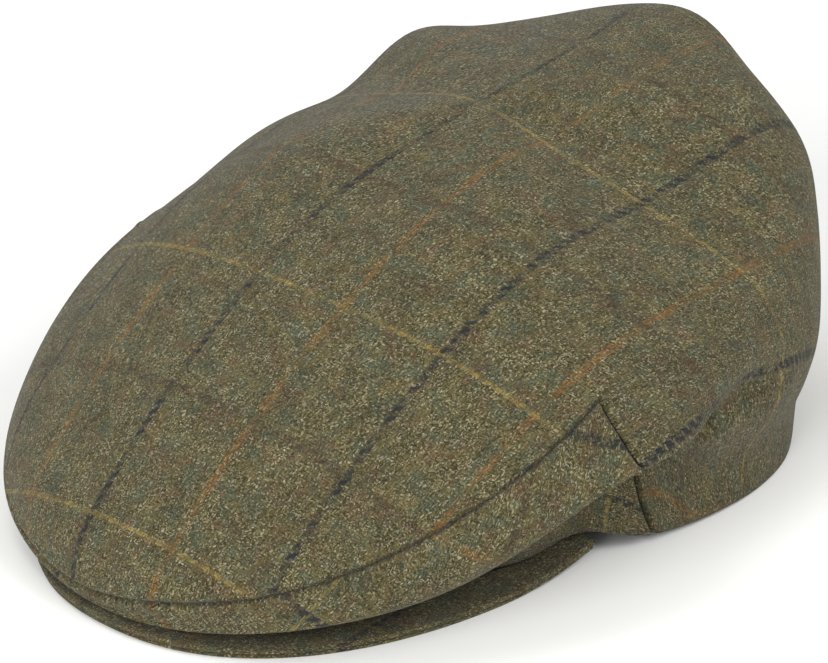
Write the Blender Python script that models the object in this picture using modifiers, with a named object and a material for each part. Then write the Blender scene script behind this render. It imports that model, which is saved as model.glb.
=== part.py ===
"""A tweed flat cap lying on a table: top panel, front panel, peak and the peak's under cloth.

Metres, +Z up. The peak points to -Y and the wearer's left is +X. The cap rests on z = 0.
A direction is an angle round the crown's axis: 0 at the peak, 90 at +X, 180 at the back.
A level is a height along the wall: 0 at the rim, and one more for each row of LEVELS.
"""

import bpy
import numpy as np

# How far the wall reaches from the crown's axis, in each of the five directions below.
FRONT_REACH = 0.1655
FRONT_CORNER_REACH = 0.1375
HALF_WIDTH = 0.1032
BACK_CORNER_REACH = 0.1075
BACK_REACH = 0.109
CROWN_HEIGHT = 0.1185
AXIS_BACK = 0.0282  # the crown's axis stands this far behind the frame's origin

CLOTH_THICKNESS = 0.0018
PIECE_GAP = 0.0003  # left between the layers of the peak
SEAM_GAP = 0.0008  # left between the front panel and the top panel
SAG_EXTRA_GAP = 0.0008  # more where the front seam sags round the fold
OVERHANG_EXTRA_GAP = 0.0031  # more where the side seams turn under the overhang
PEAK_THICKNESS = 0.0022  # board and its cover
UNDER_THICKNESS = 0.0009  # the cloth below the board
PEAK_REACH = 0.1358  # from the origin to the peak's front edge
PEAK_HALF_WIDTH = 0.0813
PEAK_END_FRONT = 0.0118  # the peak's ends lie this far in front of the origin
PEAK_ROUNDNESS = 2.26  # exponent of the peak's edge: 2 is an ellipse, more is squarer
PEAK_SPREAD = 62.0  # degrees each side of the front that the peak's root follows the rim
PEAK_ROOT_TUCK = 0.07  # share of the way to the axis that the root runs inside the rim at its ends
PEAK_RISE_FRONT = 0.0518  # behind this the peak rises toward its ends
PEAK_END_RISE = 0.0040
PEAK_EDGE_RADIUS = 0.0007
UNDER_INSET = 0.0010  # the under cloth stops this far inside the peak's edge
PEAK_TOP = UNDER_THICKNESS + PIECE_GAP + PEAK_THICKNESS

FOLD_DEPTH = 0.005  # the shares in FOLDS are of this

DIRECTIONS = (0.0, 45.0, 90.0, 135.0, 180.0)
REACHES = (FRONT_REACH, FRONT_CORNER_REACH, HALF_WIDTH, BACK_CORNER_REACH, BACK_REACH)

# Columns: level, then for the front, front corner, side, back corner and back a pair:
# the share of that direction's reach, and the share of CROWN_HEIGHT.
LEVELS = (
    ("rim", (0.62, 0.036), (0.71, 0.036), (0.89, 0.014), (0.95, 0.0), (0.94, 0.0)),
    ("tuck", (0.76, 0.051), (0.80, 0.10), (0.875, 0.13), (0.97, 0.12), (0.95, 0.10)),
    ("fold", (0.96, 0.055), (0.95, 0.19), (0.945, 0.25), (0.99, 0.24), (0.97, 0.22)),
    ("belly", (1.0, 0.079), (1.0, 0.265), (1.0, 0.37), (1.0, 0.39), (0.99, 0.39)),
    ("seam", (0.994, 0.137), (0.97, 0.40), (0.98, 0.50), (0.98, 0.60), (1.0, 0.62)),
    ("shoulder", (0.93, 0.25), (0.87, 0.51), (0.89, 0.61), (0.925, 0.75), (0.97, 0.83)),
    ("upper", (0.72, 0.49), (0.68, 0.67), (0.715, 0.72), (0.745, 0.87), (0.85, 0.98)),
    ("top", (0.38, 0.77), (0.38, 0.85), (0.40, 0.855), (0.425, 0.94), (0.505, 1.0)),
    ("crown", (0.0, 0.95), (0.0, 0.95), (0.0, 0.95), (0.0, 0.95), (0.0, 0.95)),
)

OVERHANG_LEVEL = 2.4  # where the crown's sides hang over the rim
OVERHANG_SPREAD = 1.4  # levels over which the side seams' extra gap fades
# Columns: name, direction, level, spread in degrees, spread in levels, outward and upward
# shares of FOLD_DEPTH. Minus directions are on the wearer's right.
FOLDS = (
    ("front_drop", -4, 2.2, 18, 1.2, 0.1, -0.45),
    ("right_front_slack", -46, 4.0, 24, 2.4, -0.7, -0.4),
    ("right_front_fall", -28, 2.7, 14, 1.1, 0.6, -0.5),
    ("right_side_hollow", -68, 4.8, 10, 1.5, -0.25, -0.2),
    ("right_side_swell", -90, 5.6, 16, 1.6, 0.3, 0.7),
    ("right_back_fold", -124, 5.8, 11, 1.5, 1.2, 1.5),
    ("right_back_hollow", -155, 6.2, 17, 1.6, -0.4, -1.0),
    ("left_rim_lift", 61, 0.0, 9.5, 1.4, -0.8, 0.9),
    ("right_rim_lift", -61, 0.0, 9.5, 1.4, -0.8, 0.9),
    ("left_undercut", 64, 1.3, 17, 0.85, -0.9, 2.9),
    ("right_undercut", -64, 1.3, 17, 0.85, -0.9, 2.9),
    ("left_overhang", 64, OVERHANG_LEVEL, 18, 0.95, 0.5, 2.0),
    ("right_overhang", -64, OVERHANG_LEVEL, 18, 0.95, 0.5, 2.0),
    ("left_undercut_edge", 71, 1.7, 11, 0.45, -0.7, 0.2),
    ("left_overhang_edge", 71, 2.75, 11, 0.55, 0.25, -0.5),
    ("right_undercut_edge", -71, 1.7, 11, 0.45, -0.7, 0.2),
    ("right_overhang_edge", -71, 2.75, 11, 0.55, 0.25, -0.5),
    ("left_side_valley", 84, 2.9, 9, 0.8, -0.45, 0.0),
    ("left_valley_end", 99, 3.5, 9, 0.8, -0.35, 0.0),
    ("left_side_ridge", 104, 2.2, 7, 1.4, 0.4, 0.0),
    ("left_side_swell", 119, 2.6, 14, 1.4, 0.45, 0.0),
    ("left_back_hollow", 130, 1.4, 9, 1.5, -0.5, 0.0),
    ("left_back_swell", 143, 4.5, 11, 1.2, 0.3, 0.0),
    ("left_back_slope", 160, 5.6, 10, 1.5, -0.3, -0.3),
    ("back_corner", 177, 5.9, 9, 1.2, 0.3, 0.3),
)

# The front seam's level at the front and where it meets the side seam.
FRONT_SEAM_LEVEL = 3.88
SEAM_SAG = 0.9  # levels that the seam sags to the wearer's right of the front
SEAM_SAG_AT = -22.0
SEAM_SAG_SPREAD = 24.0
SIDE_SEAM_LEVEL = 4.75
SIDE_SEAM = 60.0  # direction of the side seam at its top
SIDE_SEAM_SWING = 17.0  # degrees that it swings back on its way down to the rim
SIDE_SEAM_CURVE = 1.2
SEAM_CLIMB = 2.5  # exponent: the front seam climbs late, near the side seams

# One column of the cage for each of these directions, on both sides.
COLUMNS = (0, 9, 18, 27, 36, 45, 53, 60, 69, 79, 88, 97, 105, 113, 121, 130, 140, 150, 160, 170, 180)
LOWER_ROWS = (0.0, 0.13, 0.24, 0.33, 0.42, 0.51, 0.62, 0.75, 0.88, 1.0)  # shares from rim to seam
UPPER_ROWS = (0.17, 0.35, 0.53, 0.72, 0.90)  # shares from seam to crown
PEAK_COLUMNS = 14
PEAK_ROWS = 3

TWEED = (0.135, 0.125, 0.068, 1.0)
TWEED_SHADE = (0.120, 0.110, 0.060, 1.0)


def clear_scene():
    for obj in list(bpy.data.objects):
        bpy.data.objects.remove(obj)


def material(name, colour):
    made = bpy.data.materials.new(name)
    made.use_nodes = True
    shader = made.node_tree.nodes["Principled BSDF"]
    shader.inputs["Base Color"].default_value = colour
    shader.inputs["Roughness"].default_value = 0.95
    shader.inputs["Metallic"].default_value = 0.0
    return made


def along_levels(rows, across, level):
    """The rows' values at any level, by a smooth curve through them and on over the crown."""
    before = 2 * rows[:1] - rows[1:2]
    padded = np.concatenate([before, rows, across])
    start = np.clip(np.floor(level).astype(int), 0, len(rows) - 2)
    part = (level - start)[..., None]
    a, b, c, d = (padded[start + step] for step in range(4))
    straight = 2 * b + (c - a) * part
    bend = (2 * a - 5 * b + 4 * c - d) * part**2 + (3 * b - a - 3 * c + d) * part**3
    return 0.5 * (straight + bend)


def crown_points(direction, level):
    """Points of the wall's outer face: the five sections blended round by cosines, then the folds."""
    turns = np.arange(len(DIRECTIONS))
    sections = np.array([row[1:] for row in LEVELS])
    sections[..., 0] *= REACHES
    sections[..., 1] *= CROWN_HEIGHT
    blend = np.linalg.inv(np.cos(np.outer(np.radians(DIRECTIONS), turns)))
    waves = np.einsum("md,ldk->lmk", blend, sections)
    other_side = waves[-2:-1] * ((-1.0) ** turns)[:, None] * (-1.0, 1.0)
    rows = waves.reshape(len(LEVELS), -1)
    here = along_levels(rows, other_side.reshape(1, -1), level)
    here = here.reshape(level.shape + (len(turns), 2))
    angle = np.radians(direction)
    out, up = np.moveaxis(np.einsum("...m,...mk->...k", np.cos(angle[..., None] * turns), here), -1, 0)
    for _, toward, at_level, spread, level_spread, outward, upward in FOLDS:
        away = (direction - toward + 180) % 360 - 180
        share = np.exp(-((away / spread) ** 2) - ((level - at_level) / level_spread) ** 2)
        share = share * (1 - (level / (len(LEVELS) - 1)) ** 6)
        out = out + share * outward * FOLD_DEPTH
        up = up + share * upward * FOLD_DEPTH
    return np.stack([out * np.sin(angle), AXIS_BACK - out * np.cos(angle), up], axis=-1)


def seam_sag(direction):
    """1 where the front seam sags under the fold, and 0 away from there."""
    return np.exp(-(((direction - SEAM_SAG_AT) / SEAM_SAG_SPREAD) ** 4))


def seam_level(direction):
    """The front seam climbs toward the side seams; behind them the same level goes on round."""
    climb = np.clip(np.abs(direction) / SIDE_SEAM, 0, 1) ** SEAM_CLIMB
    rise = (SIDE_SEAM_LEVEL - FRONT_SEAM_LEVEL) * climb
    return FRONT_SEAM_LEVEL + rise - SEAM_SAG * seam_sag(direction)


def swung(direction, share):
    """The direction moved back with the side seam, most at the rim and none at the front seam."""
    size = np.abs(direction)
    near = np.where(size < SIDE_SEAM, size / SIDE_SEAM, (180 - size) / (180 - SIDE_SEAM))
    return direction + np.sign(direction) * SIDE_SEAM_SWING * near * (1 - share) ** SIDE_SEAM_CURVE


def lower_points(directions):
    """Cage points of the wall from the rim up to the seam's level: rows by columns."""
    share, direction = np.meshgrid(LOWER_ROWS, directions, indexing="ij")
    return crown_points(swung(direction, share), share * seam_level(direction))


def upper_points(directions):
    share, direction = np.meshgrid(UPPER_ROWS, directions, indexing="ij")
    start = seam_level(direction)
    return crown_points(direction, start + (len(LEVELS) - 1 - start) * share)


def cloth_object(name, points, faces, thickness, mat, sharp_points=()):
    """A cage smoothed once and given its thickness behind the face."""
    used = sorted({corner for face in faces for corner in face})
    place = {corner: index for index, corner in enumerate(used)}
    mesh = bpy.data.meshes.new(name)
    kept_faces = [[place[corner] for corner in face] for face in faces]
    mesh.from_pydata([tuple(points[corner]) for corner in used], [], kept_faces)
    crease = mesh.attributes.new("crease_vert", "FLOAT", "POINT")
    for corner in sharp_points:
        crease.data[place[corner]].value = 1.0
    mesh.polygons.foreach_set("use_smooth", [True] * len(mesh.polygons))
    mesh.materials.append(mat)
    obj = bpy.data.objects.new(name, mesh)
    bpy.data.collections["tweed_cap"].objects.link(obj)
    smooth = obj.modifiers.new("smooth", "SUBSURF")
    smooth.levels = 1
    smooth.render_levels = 1
    smooth.boundary_smooth = "PRESERVE_CORNERS"
    wall = obj.modifiers.new("wall", "SOLIDIFY")
    wall.thickness = thickness
    wall.offset = -1.0
    wall.use_even_offset = True
    return obj


def grid_faces(rows, columns, closed=False):
    """Faces of a grid of points, numbered row by row."""
    faces = []
    for row in range(rows - 1):
        for column in range(columns if closed else columns - 1):
            after = (column + 1) % columns
            low, high = row * columns, (row + 1) * columns
            faces.append((low + column, low + after, high + after, high + column))
    return faces


def moved_in(line, inner, gap):
    """A border line moved by the gap toward the line next to it."""
    way = inner - line
    return line + way / np.linalg.norm(way, axis=-1, keepdims=True) * gap


def make_front_panel(mat):
    half = [column for column in COLUMNS if column <= SIDE_SEAM]
    directions = np.array([-column for column in half[:0:-1]] + half, float)
    points = lower_points(directions)
    seam_gap = (SEAM_GAP + SAG_EXTRA_GAP * seam_sag(directions))[:, None]
    points[-1] = moved_in(points[-1], points[-2], seam_gap)
    above = np.array(LOWER_ROWS) * SIDE_SEAM_LEVEL - OVERHANG_LEVEL
    side_gap = (SEAM_GAP + OVERHANG_EXTRA_GAP * np.exp(-((above / OVERHANG_SPREAD) ** 2)))[:, None]
    points[:, 0] = moved_in(points[:, 0], points[:, 1], side_gap)
    points[:, -1] = moved_in(points[:, -1], points[:, -2], side_gap)
    faces = grid_faces(len(LOWER_ROWS), len(directions))
    cloth_object("front_panel", points.reshape(-1, 3), faces, CLOTH_THICKNESS, mat)


def make_top_panel(mat):
    directions = np.array([-column for column in COLUMNS[-2:0:-1]] + list(COLUMNS), float)
    around = len(directions)
    top = crown_points(np.zeros(1), np.full(1, len(LEVELS) - 1.0))
    rings = np.concatenate([lower_points(directions), upper_points(directions)])
    points = np.concatenate([rings.reshape(-1, 3), top])
    faces = []
    for face in grid_faces(len(rings), around, closed=True):
        columns = [corner % around for corner in face]
        below_seam = face[3] // around < len(LOWER_ROWS)
        in_front = all(abs(directions[column]) <= SIDE_SEAM for column in columns)
        if not (below_seam and in_front):
            faces.append(face)
    last = (len(rings) - 1) * around
    for column in range(around):
        faces.append((last + column, last + (column + 1) % around, len(points) - 1))
    seam_row = (len(LOWER_ROWS) - 1) * around
    ends = [seam_row + int(np.argmin(np.abs(directions - side * SIDE_SEAM))) for side in (-1, 1)]
    cloth_object("top_panel", points, faces, CLOTH_THICKNESS, mat, sharp_points=ends)


def peak_points(inset):
    """Cage of the peak's top face, from its outer edge in to the rim."""
    share = np.linspace(-1, 1, PEAK_COLUMNS + 1)
    root = crown_points(share * PEAK_SPREAD, np.zeros(PEAK_COLUMNS + 1))
    axis = np.array([0.0, AXIS_BACK, 0.0])
    root += (axis - root) * PEAK_ROOT_TUCK * share[:, None] ** 4
    turn = share * np.pi / 2
    power = 2 / PEAK_ROUNDNESS
    across = (PEAK_HALF_WIDTH - inset) * np.sign(turn) * np.abs(np.sin(turn)) ** power
    forward = PEAK_END_FRONT + (PEAK_REACH - inset - PEAK_END_FRONT) * np.cos(turn).clip(0) ** power
    edge = np.stack([across, -forward, np.zeros_like(across)], axis=-1)
    rows = np.linspace(0, 1, PEAK_ROWS + 1)[:, None, None]
    points = edge * (1 - rows) + root * rows
    risen = (points[..., 1] + PEAK_RISE_FRONT) / (PEAK_RISE_FRONT - PEAK_END_FRONT)
    points[..., 2] = PEAK_TOP + PEAK_END_RISE * risen.clip(0) ** 2
    return points


def make_peak_layer(name, depth, thickness, inset, mat):
    """One layer of the peak, its face this deep below the peak's top face."""
    faces = grid_faces(PEAK_ROWS + 1, PEAK_COLUMNS + 1)
    layer = cloth_object(name, peak_points(inset).reshape(-1, 3), faces, thickness, mat)
    layer.modifiers["wall"].offset = -1.0 - 2.0 * depth / thickness
    layer.modifiers["wall"].use_even_offset = False
    return layer


def make_peak(cover, under):
    depth = PEAK_THICKNESS + PIECE_GAP
    make_peak_layer("peak_under", depth, UNDER_THICKNESS, UNDER_INSET, under)
    peak = make_peak_layer("peak", 0.0, PEAK_THICKNESS, 0.0, cover)
    edge = peak.modifiers.new("edge", "BEVEL")
    edge.width = PEAK_EDGE_RADIUS
    edge.segments = 1
    edge.limit_method = "ANGLE"


def main():
    clear_scene()
    group = bpy.data.collections.new("tweed_cap")
    bpy.context.scene.collection.children.link(group)
    make_top_panel(material("tweed_top", TWEED))
    make_front_panel(material("tweed_front", TWEED))
    make_peak(material("tweed_peak", TWEED_SHADE), material("tweed_under", TWEED_SHADE))


main()
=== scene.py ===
import math

import bpy
import numpy as np
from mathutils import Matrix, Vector


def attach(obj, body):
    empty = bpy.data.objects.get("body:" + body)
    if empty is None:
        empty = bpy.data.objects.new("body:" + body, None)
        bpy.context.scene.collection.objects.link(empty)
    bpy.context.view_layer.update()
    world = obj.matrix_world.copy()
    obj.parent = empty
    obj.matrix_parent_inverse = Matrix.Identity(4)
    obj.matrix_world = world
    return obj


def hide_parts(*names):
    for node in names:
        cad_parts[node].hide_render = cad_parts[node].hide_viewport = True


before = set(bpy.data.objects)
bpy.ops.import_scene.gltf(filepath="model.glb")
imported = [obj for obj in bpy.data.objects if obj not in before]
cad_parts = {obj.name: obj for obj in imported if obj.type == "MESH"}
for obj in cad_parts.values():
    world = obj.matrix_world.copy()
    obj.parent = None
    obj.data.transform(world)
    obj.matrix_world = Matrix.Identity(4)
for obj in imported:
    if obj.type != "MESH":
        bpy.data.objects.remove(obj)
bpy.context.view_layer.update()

bl_info = {
    "name": "Tweed flat cap",
    "version": (1, 0, 0),
    "blender": (4, 5, 0),
    "location": "View3D > Sidebar > Flat cap",
    "description": "Makes a checked tweed flat cap: crown, front panel, peak and a plain studio",
    "category": "Object",
}

MM = 0.001

# ---------------------------------------------------------------- the crown's shape
# A direction is an angle round the crown's axis: 0 at the peak, 90 at +X, 180 at the back.
# A level is a height along the wall: 0 at the rim, and one more for each row of LEVELS.
DIRECTIONS = (0.0, 45.0, 90.0, 135.0, 180.0)

# Columns: the level's name, then for the front, front corner, side, back corner and back a
# pair: the share of that direction's reach, and the share of the crown's height.
LEVELS = (
    ("rim", (0.62, 0.036), (0.71, 0.036), (0.89, 0.014), (0.95, 0.0), (0.94, 0.0)),
    ("tuck", (0.76, 0.051), (0.80, 0.10), (0.875, 0.13), (0.97, 0.12), (0.95, 0.10)),
    ("fold", (0.96, 0.055), (0.95, 0.19), (0.945, 0.25), (0.99, 0.24), (0.97, 0.22)),
    ("belly", (1.0, 0.079), (1.0, 0.265), (1.0, 0.37), (1.0, 0.39), (0.99, 0.39)),
    ("seam", (0.994, 0.137), (0.97, 0.40), (0.98, 0.50), (0.98, 0.60), (1.0, 0.62)),
    ("shoulder", (0.93, 0.25), (0.87, 0.51), (0.89, 0.61), (0.925, 0.75), (0.97, 0.83)),
    ("upper", (0.72, 0.49), (0.68, 0.67), (0.715, 0.72), (0.745, 0.87), (0.85, 0.98)),
    ("top", (0.38, 0.77), (0.38, 0.85), (0.40, 0.855), (0.425, 0.94), (0.505, 1.0)),
    ("crown", (0.0, 0.95), (0.0, 0.95), (0.0, 0.95), (0.0, 0.95), (0.0, 0.95)),
)
TOP_LEVEL = len(LEVELS) - 1

# Columns: name, direction, level, spread in degrees, spread in levels, outward and upward
# shares of the fold depth. Minus directions are on the wearer's right.
FOLDS = (
    ("front_drop", -4, 2.2, 18, 1.2, 0.1, -0.45),
    ("right_front_slack", -46, 4.0, 24, 2.4, -0.7, -0.4),
    ("right_front_fall", -28, 2.7, 14, 1.1, 0.6, -0.5),
    ("right_side_hollow", -68, 4.8, 10, 1.5, -0.25, -0.2),
    ("right_side_swell", -90, 5.6, 16, 1.6, 0.3, 0.7),
    ("right_back_fold", -124, 5.8, 11, 1.5, 1.2, 1.5),
    ("right_back_hollow", -155, 6.2, 17, 1.6, -0.4, -1.0),
    ("left_rim_lift", 61, 0.0, 9.5, 1.4, -0.8, 0.9),
    ("right_rim_lift", -61, 0.0, 9.5, 1.4, -0.8, 0.9),
    ("left_undercut", 64, 1.3, 17, 0.85, -0.9, 2.9),
    ("right_undercut", -64, 1.3, 17, 0.85, -0.9, 2.9),
    ("left_overhang", 64, 2.4, 18, 0.95, 0.5, 2.0),
    ("right_overhang", -64, 2.4, 18, 0.95, 0.5, 2.0),
    ("left_undercut_edge", 71, 1.7, 11, 0.45, -0.7, 0.2),
    ("left_overhang_edge", 71, 2.75, 11, 0.55, 0.25, -0.5),
    ("right_undercut_edge", -71, 1.7, 11, 0.45, -0.7, 0.2),
    ("right_overhang_edge", -71, 2.75, 11, 0.55, 0.25, -0.5),
    ("front_pull", 10, 3.1, 28, 0.9, -0.5, -0.25),
    ("left_lip", 74, 3.2, 10, 0.38, 0.6, -0.2),
    ("left_lip_hollow", 78, 2.55, 10, 0.4, -2.4, 0.4),
    ("left_lip_end", 94, 3.0, 9, 0.4, -0.9, 0.0),
    ("left_side_valley", 84, 2.9, 9, 0.8, -0.45, 0.0),
    ("left_valley_end", 99, 3.5, 9, 0.8, -0.35, 0.0),
    ("left_side_ridge", 104, 2.2, 7, 1.4, 0.4, 0.0),
    ("left_side_swell", 119, 2.6, 14, 1.4, 0.45, 0.0),
    ("left_back_hollow", 130, 1.4, 9, 1.5, -0.5, 0.0),
    ("left_back_swell", 143, 4.5, 11, 1.2, 0.3, 0.0),
    ("left_back_slope", 160, 5.6, 10, 1.5, -0.3, -0.3),
    ("back_corner", 177, 5.9, 9, 1.2, 0.3, 0.3),
)

# The seams, in directions and levels.
FRONT_SEAM_LEVEL = 3.88
SEAM_CLIMB = 2.5  # exponent: the front seam climbs late, near the side seams
SEAM_SAG = 0.9
SEAM_SAG_AT = -22.0
SEAM_SAG_SPREAD = 24.0
SIDE_SEAM_LEVEL = 4.75
SIDE_SEAM = 60.0
SIDE_SEAM_SWING = 17.0
SIDE_SEAM_CURVE = 1.2
SWELL_AT = 2.5  # seam widths from the stitches to the top of the swell beside them

# The peak's outline and root.
PEAK_ROUNDNESS = 2.26  # exponent of the peak's edge: 2 is an ellipse, more is squarer
PEAK_SPREAD = 62.0  # degrees each side of the front that the peak's root follows the rim
PEAK_ROOT_TUCK = 0.07  # share of the way to the axis that the root runs inside the rim at its ends

# How fine the meshes are.
ROUND_FRONT, ROUND_BACK = 134, 250  # columns in front of and behind the side seams
UP_UPPER, UP_REAR, UP_PANEL = 90, 48, 64  # rows of each part of the wall
PEAK_ACROSS, PEAK_DEEP, PEAK_LIP = 220, 20, 10  # columns, rows of each face, and steps round the lip
CROWDING = 0.75  # how much closer rows and columns lie beside a seam: 0 is even

# ---------------------------------------------------------------- how the cloth lies, in mm
# The lengthwise check lines: where they lie over the crown, and where they lie in the flat cloth.
WARP_ON_CROWN = (-78, -50, -17, 20, 60, 94, 126, 175)
WARP_IN_CLOTH = (-82, -46, -10, 26, 62, 98, 134, 170)
DRIFT = 20.0  # how far the cloth is dragged sideways over the middle of the crown
DRIFT_AT, DRIFT_SPREAD = (-8.0, 30.0), (32.0, 70.0)  # across and along the cap
BOW, BOW_START, BOW_LENGTH, BOW_REACH = 0.0024, -130.0, 140.0, 120.0  # how the crosswise lines sag
STEPS_PER_LEVEL = 25  # steps of each level on the grid that the cloth's lengths are summed on
PANEL_SHIFT = (-60.3, -42.2)  # brings the lines to where they cross the front panel
PANEL_SLANT = 60.9  # degrees between the front panel and the lengthwise yarns at the front
PANEL_TURN = 0.116  # degrees that the yarns turn for each mm along the front panel

# ---------------------------------------------------------------- how the cloth looks
WARP_YARN, WEFT_YARN = 1.12, 0.92  # mm from one yarn to the next
FIBRE = (0.32, 0.58)  # mm across and along the yarn; wool fibres are finer, drawn as coarse as shows

WOBBLE = 0.9  # mm that the yarns wander
DIPPED = 0.45  # share of a check line's colour that still shows where its yarn dips

# Where each wool's colour stands on the ramp from the darkest fibre to the palest.
WOOLS = (("dark", 0.0), ("moss", 0.25), ("olive", 0.52), ("tan", 0.8), ("cream", 1.0))

# Columns: name, patches per mm, detail, and a shift in mm, so that no two patterns fall together.
CLOUDS = (
    ("wobble", 0.7, 1.0, (7.0, 3.0, 0.0)),
    ("dyeing", 0.08, 4.0, (3.0, 19.0, 0.0)),
    ("green", 0.13, 4.0, (31.0, 11.0, 0.0)),
    ("rust", 0.12, 4.0, (83.0, 57.0, 0.0)),
    ("ochre", 0.12, 4.0, (17.0, 91.0, 0.0)),
    ("orange", 0.12, 2.0, (5.0, 71.0, 0.0)),
    ("brown", 0.12, 2.0, (47.0, 29.0, 0.0)),
    ("yellow", 0.12, 2.0, (61.0, 43.0, 0.0)),
    ("navy", 0.12, 2.0, (13.0, 97.0, 0.0)),
)

# Columns: the colour's name, noise where a patch starts and where it is full, most share of the colour.
FLECKS = (
    ("green", 0.44, 0.66, 0.58),
    ("rust", 0.47, 0.68, 0.50),
    ("ochre", 0.50, 0.70, 0.45),
)

# Columns: the colour's name, whether the line runs along the cap, where the first one lies, how far
# on the next one lies and half its width, all in mm, and most share of the colour.
CHECK_LINES = (
    ("orange", True, 26.0, 72.0, 1.5, 0.40),
    ("brown", False, 44.4, 88.0, 1.9, 0.62),
    ("yellow", False, 0.0, 88.0, 0.9, 0.42),
    ("navy", True, 62.0, 72.0, 1.6, 0.92),
)

# ---------------------------------------------------------------- the studio
# Columns: name, degrees round from the peak to the wearer's left, degrees up, watts.
SOFTBOXES = (
    ("front_box", 14.0, 27.0, 39.0),
    ("right_box", 102.0, 42.0, 24.0),
    ("top_box", -60.0, 72.0, 13.0),
)
BOX_DISTANCE, BOX_SIZE = 2.2, 1.2
SKY_STRENGTH = 0.55
FLOOR_HALF = 6.0
VIEW_ROUND, VIEW_UP, VIEW_DISTANCE = 42.0, 27.0, 1.3  # the photo's own angle
VIEW_TARGET = (0.001, -0.0028, 0.046)
LENS, SENSOR = 185.4, 36.0


def linear(hex_colour):
    """An sRGB hex colour as linear red, green and blue."""
    share = np.array([int(hex_colour[at:at + 2], 16) for at in (1, 3, 5)]) / 255
    return tuple(np.where(share <= 0.04045, share / 12.92, ((share + 0.055) / 1.055) ** 2.4))


def length(name, description, value):
    return bpy.props.FloatProperty(
        name=name, description=description, default=value, min=0.0, precision=4, unit="LENGTH")


def colour(name, description, hex_colour):
    return bpy.props.FloatVectorProperty(
        name=name, description=description, default=linear(hex_colour), min=0.0, max=1.0, subtype="COLOR")


class FlatCapSizes(bpy.types.PropertyGroup):
    front_reach: length("Front reach", "From the crown's axis to the front of the crown", 0.164)
    front_corner_reach: length("Front corner reach", "From the axis to the crown's front corners", 0.136)
    half_width: length("Half width", "From the axis to the crown's sides", 0.102)
    back_corner_reach: length("Back corner reach", "From the axis to the crown's back corners", 0.106)
    back_reach: length("Back reach", "From the axis to the back of the crown", 0.107)
    crown_height: length("Crown height", "From the rim to the highest point of the crown", 0.117)
    axis_back: length("Axis back", "How far the crown's axis stands behind the origin", 0.0282)
    fold_depth: length("Fold depth", "The depth that the folds' shares are taken of", 0.005)
    cloth: length("Cloth thickness", "Thickness of the tweed with its backing", 0.0016)
    seam_depth: length("Seam depth", "How far a sewn edge turns in", 0.0013)
    seam_width: length("Seam width", "How far from the stitches an edge is rounded", 0.0008)
    # How far the painted shade in the seams reaches.
    seam_shade_width: length("Seam shade", "How far from the stitches the seam's shade reaches", 0.0005)
    seam_swell: length("Seam swell", "How far the cloth stands proud beside a seam", 0.0004)
    peak_reach: length("Peak reach", "From the origin to the peak's front edge", 0.1358)
    peak_half_width: length("Peak half width", "Half of the peak's width", 0.0813)
    peak_end_front: length("Peak end", "How far in front of the origin the peak's ends lie", 0.0118)
    peak_thickness: length("Peak thickness", "The peak's board and its cover", 0.0017)
    under_thickness: length("Under cloth", "Thickness of the cloth under the peak", 0.0014)
    under_inset: length("Under inset", "How far inside the peak's edge the under cloth stops", 0.0007)
    peak_end_rise: length("Peak rise", "How far the peak's ends rise", 0.0040)
    peak_rise_front: length("Rise start", "How far in front of the origin the peak starts to rise", 0.0518)
    layer_gap: length("Layer gap", "Gap between the peak and its under cloth", 0.0003)


class FlatCapColours(bpy.types.PropertyGroup):
    dark: colour("Dark fibre", "The darkest wool in the yarn", "#282412")
    moss: colour("Moss fibre", "The dark green-brown wool", "#39351f")
    olive: colour("Olive fibre", "The most common wool in the yarn", "#4a452c")
    tan: colour("Tan fibre", "The lighter wool in the yarn", "#5f593c")
    cream: colour("Cream fibre", "The few pale fibres", "#86806a")
    green: colour("Green fleck", "Blue-green wool carded into the yarn", "#36453a")
    rust: colour("Rust fleck", "Red-brown wool carded into the yarn", "#533b2a")
    ochre: colour("Ochre fleck", "Yellow wool carded into the yarn", "#5f532d")
    navy: colour("Navy line", "Lengthwise check line", "#1b1d21")
    orange: colour("Orange line", "Lengthwise check line between two navy ones", "#7c501c")
    yellow: colour("Yellow line", "Crosswise check line", "#96803f")
    brown: colour("Brown line", "Crosswise check line between two yellow ones", "#3a2b21")
    floor: colour("Floor", "Plain studio floor", "#efefed")


# ---------------------------------------------------------------- surfaces
def along_levels(rows, across, level):
    """Catmull-Rom curve through the rows of values. The row past the last one is the other side's."""
    before = 2 * rows[:1] - rows[1:2]
    padded = np.concatenate([before, rows, across])
    start = np.clip(np.floor(level).astype(int), 0, len(rows) - 2)
    part = (level - start)[..., None]
    a, b, c, d = (padded[start + step] for step in range(4))
    straight = 2 * b + (c - a) * part
    bend = (2 * a - 5 * b + 4 * c - d) * part**2 + (3 * b - a - 3 * c + d) * part**3
    return 0.5 * (straight + bend)


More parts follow.
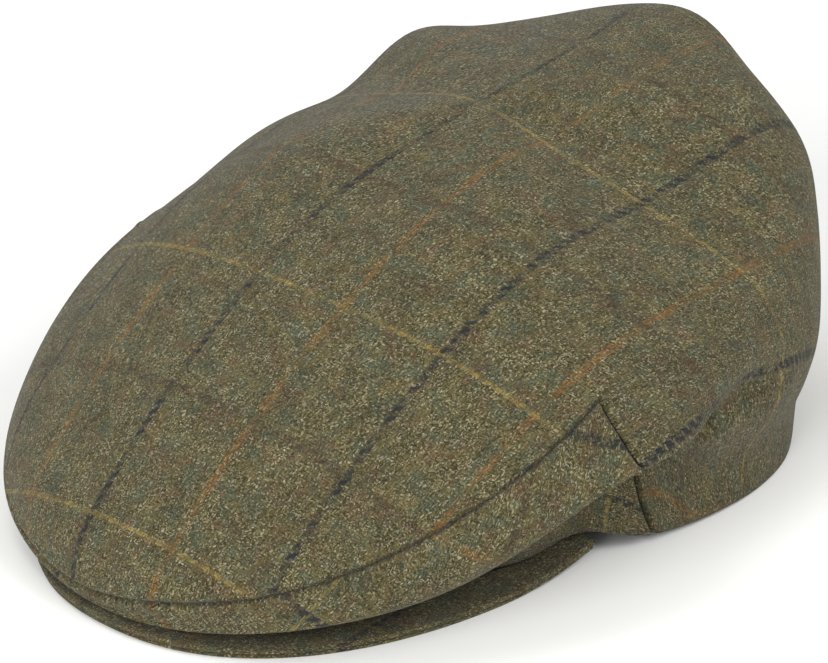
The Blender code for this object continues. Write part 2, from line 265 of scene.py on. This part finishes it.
def crown_points(size, direction, level):
    """Points of the crown: each level's reach and height go round as a cosine series through
    the five directions, the series go up along a smooth curve, and each fold adds a bell."""
    turns = np.arange(len(DIRECTIONS))
    reaches = (size.front_reach, size.front_corner_reach, size.half_width,
               size.back_corner_reach, size.back_reach)
    sections = np.array([row[1:] for row in LEVELS])
    sections[..., 0] *= reaches
    sections[..., 1] *= size.crown_height
    blend = np.linalg.inv(np.cos(np.outer(np.radians(DIRECTIONS), turns)))
    waves = np.einsum("md,ldk->lmk", blend, sections)
    other_side = waves[-2:-1] * ((-1.0) ** turns)[:, None] * (-1.0, 1.0)
    rows = waves.reshape(len(LEVELS), -1)
    here = along_levels(rows, other_side.reshape(1, -1), level)
    here = here.reshape(level.shape + (len(turns), 2))
    angle = np.radians(direction)
    out, up = np.moveaxis(np.einsum("...m,...mk->...k", np.cos(angle[..., None] * turns), here), -1, 0)
    for _, at_direction, at_level, spread, level_spread, outward, upward in FOLDS:
        away = (direction - at_direction + 180) % 360 - 180
        share = np.exp(-((away / spread) ** 2) - ((level - at_level) / level_spread) ** 2)
        share = share * (1 - (level / TOP_LEVEL) ** 6)
        out = out + share * outward * size.fold_depth
        up = up + share * upward * size.fold_depth
    return np.stack([out * np.sin(angle), size.axis_back - out * np.cos(angle), up], axis=-1)


def crown_normals(size, direction, level):
    """Outward normals of the crown: the cross product of its two slopes, taken over small steps."""
    turn, climb = 0.05, 0.01
    round_it = crown_points(size, direction + turn, level) - crown_points(size, direction - turn, level)
    up_it = crown_points(size, direction, level + climb) - crown_points(size, direction, level - climb)
    normal = np.cross(round_it, up_it)
    return normal / np.maximum(np.linalg.norm(normal, axis=-1, keepdims=True), 1e-12)


def seam_level(direction):
    """The front seam climbs toward the side seams and sags under the fold on the wearer's right."""
    climb = np.clip(np.abs(direction) / SIDE_SEAM, 0, 1) ** SEAM_CLIMB
    rise = (SIDE_SEAM_LEVEL - FRONT_SEAM_LEVEL) * climb
    sag = np.exp(-(((direction - SEAM_SAG_AT) / SEAM_SAG_SPREAD) ** 4))
    return FRONT_SEAM_LEVEL + rise - SEAM_SAG * sag


def swung(direction, share):
    """The direction moved back with the side seam, most at the rim and none at the front seam."""
    turn = np.abs(direction)
    near = np.where(turn < SIDE_SEAM, turn / SIDE_SEAM, (180 - turn) / (180 - SIDE_SEAM))
    return direction + np.sign(direction) * SIDE_SEAM_SWING * near * (1 - share) ** SIDE_SEAM_CURVE


def lower_wall(directions, shares):
    """Direction and level of each point of the wall from the rim up to the seam's level."""
    share, direction = np.meshgrid(shares, directions, indexing="ij")
    return swung(direction, share), share * seam_level(direction)


def upper_wall(directions, shares):
    """Direction and level of each point of the wall from the seam's level up to the crown."""
    share, direction = np.meshgrid(shares, directions, indexing="ij")
    start = seam_level(direction)
    return direction, start + (TOP_LEVEL - start) * share


def crowded_ends(start, stop, count):
    """Numbers from start to stop that lie closer together near both ends: even steps less a sine."""
    even = np.linspace(0, 1, count + 1)
    return start + (stop - start) * (even - CROWDING * np.sin(2 * np.pi * even) / (2 * np.pi))


def crowded_start(count):
    """Shares from 0 to 1 that lie closer together near 0: even steps less half a sine."""
    even = np.linspace(0, 1, count + 1)
    return even - CROWDING * np.sin(np.pi * even) / np.pi


def distance_along(points, axis):
    """Length of the grid's lines from their first point."""
    steps = np.linalg.norm(np.diff(points, axis=axis), axis=-1)
    start = np.zeros_like(np.take(steps, [0], axis=axis))
    return np.concatenate([start, np.cumsum(steps, axis=axis)], axis=axis)


def sewn_edge(size, distance):
    """Lift of the cloth beside a seam: a bell that turns the edge in, and a low swell next to it."""
    away = distance / size.seam_width
    swell = (away / SWELL_AT) ** 2 * np.exp(1 - (away / SWELL_AT) ** 2)
    return size.seam_swell * swell - size.seam_depth * np.exp(-(away**2))


def seam_shade(size, distance):
    """1 in the seam and 0 away from it: painted shade, where shadow falls between two sewn edges."""
    return np.exp(-((distance / size.seam_shade_width) ** 2))


def cloth_place(size, direction, level):
    """Where each point lies in the flat cloth, in metres: the length of its meridian from the crown,
    turned by its direction, then pulled straight to the weave's lengthwise and crosswise lines."""
    turns = np.arange(-181.0, 182.0)
    steps = np.arange(-5, TOP_LEVEL * STEPS_PER_LEVEL + 1) / STEPS_PER_LEVEL
    grid_turn, grid_level = np.meshgrid(turns, steps, indexing="ij")
    wall = crown_points(size, grid_turn, grid_level)
    arcs = distance_along(wall[:, ::-1], 1)[:, ::-1]

    # The length at each point, blended from the four points of the grid round it.
    column = (direction + 180) % 360 - 180 - turns[0]
    row = np.clip((level - steps[0]) * STEPS_PER_LEVEL, 0, len(steps) - 1.001)
    left, below = np.floor(column).astype(int), np.floor(row).astype(int)
    right_share, above_share = column - left, row - below
    low = arcs[left, below] * (1 - right_share) + arcs[left + 1, below] * right_share
    high = arcs[left, below + 1] * (1 - right_share) + arcs[left + 1, below + 1] * right_share
    arc = (low * (1 - above_share) + high * above_share) / MM

    angle = np.radians(direction)
    across, along = arc * np.sin(angle), -arc * np.cos(angle)
    across = across - DRIFT * np.exp(
        -(((across - DRIFT_AT[0]) / DRIFT_SPREAD[0]) ** 2) - ((along - DRIFT_AT[1]) / DRIFT_SPREAD[1]) ** 2)
    before = np.minimum(across - WARP_ON_CROWN[0], 0)
    after = np.maximum(across - WARP_ON_CROWN[-1], 0)
    straight = np.interp(across, WARP_ON_CROWN, WARP_IN_CLOTH) + before + after
    bow = BOW * np.clip((along - BOW_START) / BOW_LENGTH, 0, 1)
    return np.stack([straight, along - bow * np.minimum(across**2, BOW_REACH**2)], axis=-1) * MM


def quads(index):
    """Faces between the rows and columns of a grid of point numbers."""
    return np.stack([index[:-1, :-1], index[:-1, 1:], index[1:, 1:], index[1:, :-1]], axis=-1).reshape(-1, 4)


def make_piece(name, points, faces, places, material, node, slot):
    """A mesh with its place in the cloth as a UV map and the painted shade beside its seams as an
    attribute, riding on the cap in a CAD node's stead."""
    mesh = bpy.data.meshes.new(name)
    mesh.from_pydata(points.tolist(), [], faces)
    mesh.update()
    corners = np.empty(len(mesh.loops), np.int32)
    mesh.loops.foreach_get("vertex_index", corners)
    layer = mesh.uv_layers.new(name="cloth")
    layer.data.foreach_set("uv", places[corners, :2].astype(np.float32).ravel())
    # The attribute holds the painted shade in the seams.
    shade = mesh.attributes.new("seam", "FLOAT", "POINT")
    shade.data.foreach_set("value", places[:, 2].astype(np.float32))
    mesh.polygons.foreach_set("use_smooth", np.ones(len(mesh.polygons), bool))
    mesh.materials.append(material)
    piece = bpy.data.objects.new(name, mesh)
    bpy.context.scene.collection.objects.link(piece)
    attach(piece, "root")
    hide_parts(node)
    return piece


def thicken(piece, thickness):
    """The cloth's thickness, added behind its face."""
    wall = piece.modifiers.new("cloth", "SOLIDIFY")
    wall.thickness = thickness
    wall.offset = -1.0


# ---------------------------------------------------------------- materials
def add_node(tree, kind, inputs=None, stops=None, **settings):
    """One node of a material, with its settings, its colour stops and its inputs. The kind is the
    node type's name after ShaderNode. An input is a value, another node's output, or another
    node, whose first output is meant."""
    node = tree.nodes.new("ShaderNode" + kind)
    for name, value in settings.items():
        setattr(node, name, value)
    for at, (position, shade) in enumerate(stops or ()):
        ramp = node.color_ramp.elements
        stop = ramp[at] if at < 2 else ramp.new(position)
        stop.position, stop.color = position, shade
    for name, value in (inputs or {}).items():
        socket = node.inputs[name] if isinstance(name, int) else next(
            one for one in node.inputs if one.enabled and one.name == name)
        if isinstance(value, bpy.types.Node):
            value = next(one for one in value.outputs if one.enabled)
        if isinstance(value, bpy.types.NodeSocket):
            tree.links.new(value, socket)
        else:
            socket.default_value = value
    return node


def empty_material(name):
    """A material with an empty node tree, and the tree."""
    material = bpy.data.materials.new(name)
    material.use_nodes = True
    material.node_tree.nodes.clear()
    return material, material.node_tree


def tweed_material(name, colours):
    """Wool tweed: carded and mixed wool, spun thick and soft and woven in a two by two twill.

    The eye gets a fine grain of olive, tan and dark fibres laid along short soft yarns, faint
    diagonal ribs, patches where one dyed wool is thicker in the yarn, check lines of one to three
    yarns that break up where they dip under the crossing ones, and a dull, slightly furry face."""
    material, tree = empty_material(name)

    # The place in the flat cloth, and the soft noise patterns on it.
    place = add_node(tree, "UVMap", uv_map="cloth")
    in_mm = add_node(tree, "VectorMath", {0: place, 1: (1 / MM, 1 / MM, 0.0)}, operation="MULTIPLY")
    clouds = {}
    for pattern, per_mm, detail, shift in CLOUDS:
        moved = add_node(tree, "VectorMath", {0: in_mm, 1: shift}, operation="ADD")
        clouds[pattern] = add_node(
            tree, "TexNoise", {"Vector": moved, "Scale": per_mm, "Detail": detail, "Roughness": 0.6},
            noise_dimensions="2D")
    split = add_node(tree, "SeparateXYZ", {0: in_mm})
    wobble = add_node(tree, "Math", {0: clouds["wobble"], 1: WOBBLE, 2: -WOBBLE / 2}, operation="MULTIPLY_ADD")
    across = add_node(tree, "Math", {0: split.outputs["X"], 1: wobble}, operation="ADD")
    along = add_node(tree, "Math", {0: split.outputs["Y"], 1: wobble}, operation="ADD")

    # Yarns: the warp is on top for two steps of the twill's four, and each yarn is round.
    warp = add_node(tree, "Math", {0: across, 1: WARP_YARN}, operation="DIVIDE")
    weft = add_node(tree, "Math", {0: along, 1: WEFT_YARN}, operation="DIVIDE")
    warp_number = add_node(tree, "Math", {0: warp}, operation="FLOOR")
    weft_number = add_node(tree, "Math", {0: weft}, operation="FLOOR")
    step = add_node(tree, "Math", {0: warp_number, 1: weft_number}, operation="SUBTRACT")
    quarter = add_node(tree, "Math", {0: step, 1: 4.0}, operation="DIVIDE")
    rib = add_node(tree, "Math", {0: quarter}, operation="FRACT")
    warp_on_top = add_node(tree, "Math", {0: rib, 1: 0.49}, operation="LESS_THAN")
    weft_on_top = add_node(tree, "Math", {0: 1.0, 1: warp_on_top}, operation="SUBTRACT")
    top_yarn = add_node(tree, "Mix", {"Factor": warp_on_top, "A": weft, "B": warp}, data_type="FLOAT")
    beside = add_node(tree, "Math", {0: top_yarn}, operation="FRACT")
    half_turn = add_node(tree, "Math", {0: beside, 1: math.pi}, operation="MULTIPLY")
    round_yarn = add_node(tree, "Math", {0: half_turn}, operation="SINE")

    # Fibres: cells of one wool each, drawn out along the yarn that is on top.
    over_yarn = add_node(tree, "Mix", {"Factor": warp_on_top, "A": along, "B": across}, data_type="FLOAT")
    down_yarn = add_node(tree, "Mix", {"Factor": warp_on_top, "A": across, "B": along}, data_type="FLOAT")
    over_fibre = add_node(tree, "Math", {0: over_yarn, 1: FIBRE[0]}, operation="DIVIDE")
    down_fibre = add_node(tree, "Math", {0: down_yarn, 1: FIBRE[1]}, operation="DIVIDE")
    laid = add_node(tree, "CombineXYZ", {0: over_fibre, 1: down_fibre})
    cells = add_node(
        tree, "TexVoronoi", {"Vector": laid, "Scale": 1.0, "Randomness": 1.0}, voronoi_dimensions="2D")
    wool = add_node(tree, "SeparateColor", {"Color": cells.outputs["Color"]})
    stops = [(at, (*getattr(colours, one), 1.0)) for one, at in WOOLS]
    shade = add_node(tree, "ValToRGB", {"Fac": wool.outputs[0]}, stops)

    # Soft patches where one dyed wool is thicker, on some of the fibres.
    fibres = add_node(
        tree, "MapRange", {"Value": wool.outputs[1], "From Min": 0.1, "From Max": 0.7},
        interpolation_type="SMOOTHSTEP")
    for fleck, low, high, most in FLECKS:
        patch = add_node(
            tree, "MapRange", {"Value": clouds[fleck], "From Min": low, "From Max": high, "To Max": most},
            interpolation_type="SMOOTHSTEP")
        share = add_node(tree, "Math", {0: patch, 1: fibres}, operation="MULTIPLY")
        dyed = (*getattr(colours, fleck), 1.0)
        shade = add_node(tree, "Mix", {"Factor": share, "A": shade, "B": dyed}, data_type="RGBA")

    # Check lines: strong where the yarn is on top, weak where it dips, and patchy.
    for line, lengthwise, first, repeat, half_width, most in CHECK_LINES:
        way, on_top = (across, warp_on_top) if lengthwise else (along, weft_on_top)
        past = add_node(tree, "Math", {0: way, 1: first}, operation="SUBTRACT")
        away = add_node(tree, "Math", {0: past, 1: repeat / 2}, operation="PINGPONG")
        near = add_node(
            tree, "MapRange", {"Value": away, "From Min": half_width, "From Max": half_width * 0.6},
            interpolation_type="SMOOTHSTEP")
        patchy = add_node(
            tree, "MapRange", {"Value": clouds[line], "From Min": 0.36, "From Max": 0.6, "To Min": 0.35},
            interpolation_type="SMOOTHSTEP")
        dipped = add_node(
            tree, "Math", {0: on_top, 1: most * (1 - DIPPED), 2: most * DIPPED}, operation="MULTIPLY_ADD")
        drawn = add_node(tree, "Math", {0: near, 1: patchy}, operation="MULTIPLY")
        share = add_node(tree, "Math", {0: drawn, 1: dipped}, operation="MULTIPLY")
        dyed = (*getattr(colours, line), 1.0)
        shade = add_node(tree, "Mix", {"Factor": share, "A": shade, "B": dyed}, data_type="RGBA")

    # Uneven dyeing, and painted shade: darker between the yarns and in the seams.
    uneven = add_node(tree, "Math", {0: clouds["dyeing"], 1: 0.8, 2: 0.6}, operation="MULTIPLY_ADD")
    # Painted shade between the yarns: the colour is darker where each round yarn falls away.
    painted_yarn_shade = add_node(tree, "Math", {0: round_yarn, 1: 0.54, 2: 0.63}, operation="MULTIPLY_ADD")
    # Painted shade in the seams: the colour is up to 0.4 darker where the seam attribute is 1.
    seam = add_node(tree, "Attribute", attribute_name="seam").outputs["Fac"]
    sewn = add_node(tree, "Math", {0: seam, 1: -0.4, 2: 1.0}, operation="MULTIPLY_ADD")
    dyeing_and_painted_shade = add_node(tree, "Math", {0: uneven, 1: painted_yarn_shade}, operation="MULTIPLY")
    dyeing_and_painted_shade = add_node(tree, "Math", {0: dyeing_and_painted_shade, 1: sewn}, operation="MULTIPLY")
    shade = add_node(tree, "VectorMath", {0: shade, "Scale": dyeing_and_painted_shade}, operation="SCALE")

    height = add_node(tree, "Math", {0: wool.outputs[2], 1: 0.35, 2: round_yarn}, operation="MULTIPLY_ADD")
    bump = add_node(tree, "Bump", {"Height": height, "Strength": 0.6, "Distance": 0.00025})
    cloth = add_node(tree, "BsdfPrincipled", {
        "Base Color": shade, "Roughness": 0.95, "Specular IOR Level": 0.2, "Sheen Weight": 0.08,
        "Sheen Roughness": 0.5, "Normal": bump})
    add_node(tree, "OutputMaterial", {"Surface": cloth})
    return material


def floor_material(shade):
    """Matt paper backdrop, rolled out flat: an even, pale surface with a trace of tooth."""
    material, tree = empty_material("paper_rolled_floor")
    place = add_node(tree, "TexCoord").outputs["Object"]
    tooth = add_node(tree, "TexNoise", {"Vector": place, "Scale": 900.0, "Detail": 2.0})
    bump = add_node(tree, "Bump", {"Height": tooth, "Strength": 0.1, "Distance": 0.0001})
    paper = add_node(tree, "BsdfPrincipled", {
        "Base Color": (*shade, 1.0), "Roughness": 0.9, "Specular IOR Level": 0.1, "Normal": bump})
    add_node(tree, "OutputMaterial", {"Surface": paper})
    return material


def toward(turn, climb):
    """The direction this many degrees round from the peak to the wearer's left, and this many up."""
    turn, climb = math.radians(turn), math.radians(climb)
    return Vector((math.sin(turn) * math.cos(climb), -math.cos(turn) * math.cos(climb), math.sin(climb)))


# ---------------------------------------------------------------- pieces
def top_cloth(size):
    """Points, faces and cloth places of the top panel: the whole wall above the seam's level,
    and the wall below it behind the side seams. Edges that are sewn turn in."""
    front = crowded_ends(-SIDE_SEAM, SIDE_SEAM, ROUND_FRONT)
    back = crowded_ends(SIDE_SEAM, 360 - SIDE_SEAM, ROUND_BACK)
    round_all = np.concatenate([front, back[1:-1]])
    round_all = (round_all + 180) % 360 - 180
    back = (back + 180) % 360 - 180

    rows = crowded_start(UP_UPPER)[:-1]
    direction, level = upper_wall(round_all, rows)
    points = crown_points(size, direction, level)
    from_seam = distance_along(points, 0)
    behind = np.concatenate([points[:, len(front) - 1:], points[:, :1]], axis=1)
    round_left = distance_along(behind, 1)
    aside = np.minimum(round_left, round_left[:, -1:] - round_left)
    edge = from_seam.copy()
    edge[:, len(front) - 1:] = np.hypot(edge[:, len(front) - 1:], aside[:, :-1])
    lift = sewn_edge(size, edge)
    upper = points + crown_normals(size, direction, level) * lift[..., None]
    # The third column of the places is the painted shade in the seams.
    upper_place = np.dstack([cloth_place(size, direction, level), seam_shade(size, edge)])

    low_rows = np.linspace(0, 1, UP_REAR + 1)[:-1]
    low_direction, low_level = lower_wall(back, low_rows)
    low_points = crown_points(size, low_direction, low_level)
    round_low = distance_along(low_points, 1)
    low_aside = np.minimum(round_low, round_low[:, -1:] - round_low)
    low_lift = sewn_edge(size, low_aside)
    lower = low_points + crown_normals(size, low_direction, low_level) * low_lift[..., None]
    # The third column is the painted shade beside the side seams.
    lower_place = np.dstack([cloth_place(size, low_direction, low_level), seam_shade(size, low_aside)])

    pole_direction, pole_level = np.zeros((1, 1)), np.full((1, 1), float(TOP_LEVEL))
    pole = crown_points(size, pole_direction, pole_level)
    around, low_around = len(round_all), len(back)
    upper_index = np.arange(upper.shape[0] * around).reshape(-1, around)
    closed = np.concatenate([upper_index, upper_index[:, :1]], axis=1)
    start = upper_index.size
    lower_index = start + np.arange(lower.shape[0] * low_around).reshape(-1, low_around)
    joined = np.concatenate([upper_index[0, len(front) - 1:], upper_index[0, :1]])
    lower_index = np.concatenate([lower_index, joined[None]])
    last = start + lower.shape[0] * low_around
    faces = quads(closed).tolist() + quads(lower_index).tolist()
    faces += [(int(a), int(b), last) for a, b in zip(closed[-1, :-1], closed[-1, 1:])]
    points = np.concatenate([upper.reshape(-1, 3), lower.reshape(-1, 3), pole.reshape(-1, 3)])
    places = np.concatenate([upper_place.reshape(-1, 3), lower_place.reshape(-1, 3), np.zeros((1, 3))])
    return points, faces, places


def front_cloth(size):
    """Points, faces and cloth places of the front panel: the wall from the rim up to the front
    seam, between the side seams. Its sewn edges turn in."""
    round_front = crowded_ends(-SIDE_SEAM, SIDE_SEAM, ROUND_FRONT)
    rows = 1 - crowded_start(UP_PANEL)[::-1]
    direction, level = lower_wall(round_front, rows)
    points = crown_points(size, direction, level)
    up, beside = distance_along(points, 0), distance_along(points, 1)
    from_seam = up[-1:] - up
    aside = np.minimum(beside, beside[:, -1:] - beside)
    lift = np.minimum(sewn_edge(size, from_seam), sewn_edge(size, aside))
    both = sewn_edge(size, from_seam) + sewn_edge(size, aside)
    lift = np.where(lift < 0, lift, both)
    points = points + crown_normals(size, direction, level) * lift[..., None]
    # The panel is cut as a crescent and on the slant, so the yarns turn evenly on their way along it,
    # and a step along it, summed, is an arc of a circle in the cloth.
    along_panel = beside - beside[:, [len(round_front) // 2]]
    start_slant, turn = math.radians(PANEL_SLANT), -math.radians(PANEL_TURN) / MM
    slant = start_slant + turn * np.abs(along_panel)
    radius = np.sign(along_panel) / turn
    across = radius * (math.cos(start_slant) - np.cos(slant)) - from_seam * np.cos(slant)
    along = radius * (np.sin(slant) - math.sin(start_slant)) + from_seam * np.sin(slant)
    # The third column is the painted shade in the panel's seams.
    places = [across + PANEL_SHIFT[0] * MM, along + PANEL_SHIFT[1] * MM,
              seam_shade(size, np.minimum(from_seam, aside))]
    index = np.arange(points.shape[0] * points.shape[1]).reshape(points.shape[:2])
    return points.reshape(-1, 3), quads(index).tolist(), np.stack(places, axis=-1).reshape(-1, 3)


def peak_layer(size, thickness, inset, depth):
    """Points, faces and cloth places of one layer of the peak: a closed profile carried along
    the peak's outline. The profile runs over the top from the root, round the lip in a half
    circle, and back below. The outline is a superellipse; the root follows the rim."""
    share = np.linspace(-1, 1, PEAK_ACROSS + 1)
    root = crown_points(size, share * PEAK_SPREAD, np.zeros_like(share))
    axis = np.array([0.0, size.axis_back, 0.0])
    root = root + (axis - root) * PEAK_ROOT_TUCK * share[:, None] ** 4
    turn = share * np.pi / 2
    power = 2 / PEAK_ROUNDNESS

    def outline(inside):
        across = (size.peak_half_width - inside) * np.sign(turn) * np.abs(np.sin(turn)) ** power
        reach = size.peak_reach - inside - size.peak_end_front
        forward = size.peak_end_front + reach * np.cos(turn).clip(0) ** power
        return np.stack([across, -forward, np.zeros_like(across)], axis=-1)

    radius = thickness / 2
    rows = np.linspace(1, 0, PEAK_DEEP + 1)
    over = [(outline(inset + radius) * (1 - row) + root * row, 0.0, 0.0) for row in rows]
    around = np.linspace(0, np.pi, PEAK_LIP + 1)[1:-1]
    lip = [(outline(inset + radius * (1 - np.sin(a))), radius * (1 - np.cos(a)), a * radius) for a in around]
    below = [(line, thickness, np.pi * radius) for line, _, _ in over[::-1]]
    outward = outline(0.0) - outline(MM)
    outward /= np.linalg.norm(outward, axis=-1, keepdims=True)
    top = size.under_thickness + size.layer_gap + size.peak_thickness
    points, places = [], []
    for line, sunk, past in over + lip + below:
        risen = (line[:, 1] + size.peak_rise_front) / (size.peak_rise_front - size.peak_end_front)
        line = line.copy()
        line[:, 2] = top - depth - sunk + size.peak_end_rise * risen.clip(0) ** 2
        points.append(line)
        places.append(np.column_stack([line[:, :2] + outward[:, :2] * past, np.zeros(len(line))]))
    points = np.array(points)
    index = np.arange(points.shape[0] * points.shape[1]).reshape(points.shape[:2])
    ring = np.concatenate([index, index[:1]])
    faces = quads(ring)[:, ::-1].tolist()
    faces += [index[:, 0].tolist(), index[::-1, -1].tolist()]
    return points.reshape(-1, 3), faces, np.array(places).reshape(-1, 3)


class FlatCapTop(bpy.types.Operator):
    """Make the large top panel of the crown"""

    bl_idname = "flat_cap.top"
    bl_label = "Top panel"

    def execute(self, context):
        size, colours = context.scene.flat_cap_sizes, context.scene.flat_cap_colours
        tweed = tweed_material("wool_tweed_twill_top", colours)
        piece = make_piece("top_cloth", *top_cloth(size), tweed, "top_panel", "tweed_top")
        thicken(piece, size.cloth)
        return {"FINISHED"}


class FlatCapFront(bpy.types.Operator):
    """Make the low front panel between the front seam and the peak"""

    bl_idname = "flat_cap.front"
    bl_label = "Front panel"

    def execute(self, context):
        size, colours = context.scene.flat_cap_sizes, context.scene.flat_cap_colours
        tweed = tweed_material("wool_tweed_twill_front", colours)
        piece = make_piece("front_cloth", *front_cloth(size), tweed, "front_panel", "tweed_front")
        thicken(piece, size.cloth)
        return {"FINISHED"}


class FlatCapPeak(bpy.types.Operator):
    """Make the peak and the cloth under it"""

    bl_idname = "flat_cap.peak"
    bl_label = "Peak"

    def execute(self, context):
        size, colours = context.scene.flat_cap_sizes, context.scene.flat_cap_colours
        cover = peak_layer(size, size.peak_thickness, 0.0, 0.0)
        tweed = tweed_material("wool_tweed_twill_peak", colours)
        make_piece("peak_cover", *cover, tweed, "peak", "tweed_peak")
        under = peak_layer(size, size.under_thickness, size.under_inset, size.peak_thickness + size.layer_gap)
        tweed = tweed_material("wool_tweed_twill_under", colours)
        make_piece("peak_under_cloth", *under, tweed, "peak_under", "tweed_under")
        return {"FINISHED"}


class FlatCapStage(bpy.types.Operator):
    """Lay the plain floor and set the studio light and the camera"""

    bl_idname = "flat_cap.stage"
    bl_label = "Studio"

    def execute(self, context):
        scene = context.scene
        mesh = bpy.data.meshes.new("floor")
        corners = [(x * FLOOR_HALF, y * FLOOR_HALF, 0) for x, y in ((-1, -1), (1, -1), (1, 1), (-1, 1))]
        mesh.from_pydata(corners, [], [(0, 1, 2, 3)])
        mesh.materials.append(floor_material(scene.flat_cap_colours.floor[:]))
        floor = bpy.data.objects.new("floor", mesh)
        scene.collection.objects.link(floor)

        world = bpy.data.worlds.new("studio")
        world.use_nodes = True
        sky = world.node_tree.nodes["Background"].inputs
        sky["Color"].default_value = (1.0, 1.0, 1.0, 1.0)
        sky["Strength"].default_value = SKY_STRENGTH
        scene.world = world
        for name, turn, climb, watts in SOFTBOXES:
            light = bpy.data.lights.new(name, "AREA")
            light.energy, light.size = watts, BOX_SIZE
            lamp = bpy.data.objects.new(name, light)
            lamp.location = toward(turn, climb) * BOX_DISTANCE
            lamp.rotation_euler = toward(turn, climb).to_track_quat("Z", "Y").to_euler()
            scene.collection.objects.link(lamp)

        back = toward(VIEW_ROUND, VIEW_UP)
        lens = bpy.data.cameras.new("camera")
        lens.sensor_width, lens.lens = SENSOR, LENS
        camera = bpy.data.objects.new("camera", lens)
        camera.location = Vector(VIEW_TARGET) + back * VIEW_DISTANCE
        camera.rotation_euler = back.to_track_quat("Z", "Y").to_euler()
        scene.collection.objects.link(camera)
        scene.camera = camera
        scene.view_settings.view_transform = "Standard"
        return {"FINISHED"}


class FlatCapPanel(bpy.types.Panel):
    """The cap's pieces and sizes"""

    bl_idname = "FLATCAP_PT_main"
    bl_label = "Flat cap"
    bl_space_type = "VIEW_3D"
    bl_region_type = "UI"
    bl_category = "Flat cap"

    def draw(self, context):
        for operator in OPERATORS:
            self.layout.operator(operator.bl_idname)
        for group in (context.scene.flat_cap_sizes, context.scene.flat_cap_colours):
            for name in group.__annotations__:
                self.layout.prop(group, name)


OPERATORS = (FlatCapTop, FlatCapFront, FlatCapPeak, FlatCapStage)
CLASSES = (FlatCapSizes, FlatCapColours) + OPERATORS + (FlatCapPanel,)


def register():
    for one in CLASSES:
        bpy.utils.register_class(one)
    bpy.types.Scene.flat_cap_sizes = bpy.props.PointerProperty(type=FlatCapSizes)
    bpy.types.Scene.flat_cap_colours = bpy.props.PointerProperty(type=FlatCapColours)


def unregister():
    del bpy.types.Scene.flat_cap_colours
    del bpy.types.Scene.flat_cap_sizes
    for one in reversed(CLASSES):
        bpy.utils.unregister_class(one)


def main():
    """Registers the classes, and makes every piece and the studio."""
    register()
    bpy.ops.flat_cap.stage()
    bpy.ops.flat_cap.top()
    bpy.ops.flat_cap.front()
    bpy.ops.flat_cap.peak()


if __name__ == "__main__":
    main()
